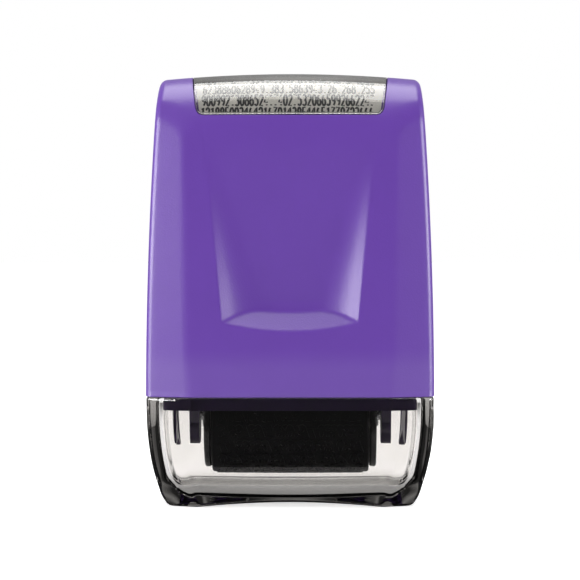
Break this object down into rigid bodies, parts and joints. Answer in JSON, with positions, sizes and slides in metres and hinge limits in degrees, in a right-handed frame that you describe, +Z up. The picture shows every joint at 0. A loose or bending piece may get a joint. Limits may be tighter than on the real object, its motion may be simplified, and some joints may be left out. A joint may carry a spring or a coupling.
{
  "type": "privacy roller stamp",
  "caption": "Hand-held roller stamp that prints a masking pattern over private text, with a tapered case, a clear window, a refill cartridge and a thick clear cap.",
  "frame": {"origin": "centre of the ground under the cap, on which the stamp stands", "axes": "+Z up from the cap to the crown, X along the rollers, the front faces -Y"},
  "size_m": [0.0576, 0.0342, 0.0863],
  "materials": {
    "case_purple": "satin moulded plastic with a fine moulded grain",
    "lens_clear": "clear glossy moulded plastic",
    "card_white": "white card with a printed pattern",
    "chassis_purple": "moulded plastic",
    "cartridge_black": "black moulded plastic",
    "print_rubber": "inked black rubber",
    "core_black": "black moulded plastic",
    "steel_pin": "turned steel",
    "nylon_white": "natural nylon",
    "ink_felt": "felt soaked with black ink",
    "spring_steel": "drawn spring wire",
    "cap_clear": "thick clear glossy moulded plastic"
  },
  "bodies": {
    "case": {"case_shell": "case_purple", "window_lens": "lens_clear", "imprint_card": "card_white", "roller_chassis": "chassis_purple"},
    "cartridge": {"cartridge_frame": "cartridge_black", "cartridge_cover": "cartridge_black", "print_axle": "steel_pin", "axle_spacer_left": "nylon_white", "axle_spacer_right": "nylon_white", "axle_clip_left": "spring_steel", "axle_clip_right": "spring_steel", "pressure_spring_left": "spring_steel", "pressure_spring_right": "spring_steel"},
    "print_roller": {"print_roller_core": "core_black", "print_sleeve": "print_rubber"},
    "ink_carriage": {"ink_axle": "steel_pin", "ink_bearing_left": "nylon_white", "ink_bearing_right": "nylon_white"},
    "ink_roller": {"ink_roller_core": "core_black", "ink_roller_felt": "ink_felt"},
    "cap_body": {"cap": "cap_clear"}
  },
  "joints": [
    {"name": "cartridge_pull", "type": "slide", "parent": "case", "child": "cartridge", "axis": [0, 0, -1], "range_m": [0, 0.044]},
    {"name": "cap_pull", "type": "slide", "parent": "cartridge", "child": "cap_body", "axis": [0, 0, -1], "range_m": [0, 0.032]},
    {"name": "print_roller_spin", "type": "hinge", "parent": "cartridge", "child": "print_roller", "pos_m": [0, 0, 0.018], "axis": [1, 0, 0], "continuous": true},
    {"name": "ink_roller_lift", "type": "slide", "parent": "cartridge", "child": "ink_carriage", "axis": [0, 0, 1], "range_m": [0, 0.0012], "stiffness_N_per_m": 300, "springref_m": -0.004, "deforming": ["pressure_spring_left", "pressure_spring_right"]},
    {"name": "ink_roller_spin", "type": "hinge", "parent": "ink_carriage", "child": "ink_roller", "pos_m": [0, 0, 0.0383], "axis": [1, 0, 0], "continuous": true}
  ],
  "couplings": [
    {"joint": "ink_roller_spin", "follows": "print_roller_spin", "ratio": -1.5}
  ]
}
